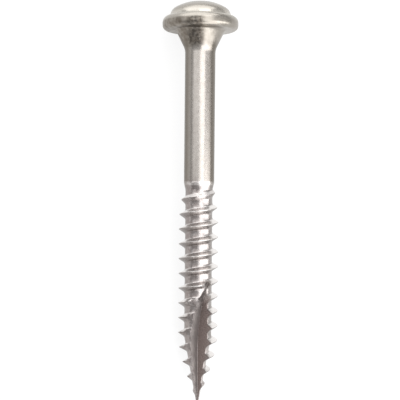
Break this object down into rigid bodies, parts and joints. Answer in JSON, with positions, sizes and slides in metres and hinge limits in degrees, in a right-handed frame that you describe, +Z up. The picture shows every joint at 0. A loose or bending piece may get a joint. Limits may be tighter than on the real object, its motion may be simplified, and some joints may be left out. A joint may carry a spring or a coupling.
{
  "type": "pocket hole screw",
  "caption": "Pocket hole screw with a crowned flanged head, square socket, smooth shank, coarse wood thread and fluted auger point.",
  "frame": {"origin": "on the floor under the middle of the lying screw's box", "axes": "+X from the point towards the head, +Z up; the screw rests on its flange and its thread, so its own axis rises 3.4 degrees towards the head"},
  "size_m": [0.0628, 0.012, 0.012],
  "materials": {
    "zinc_plated_steel": "satin zinc plating, warm grey"
  },
  "bodies": {
    "root": {"screw": "zinc_plated_steel"}
  },
  "joints": []
}
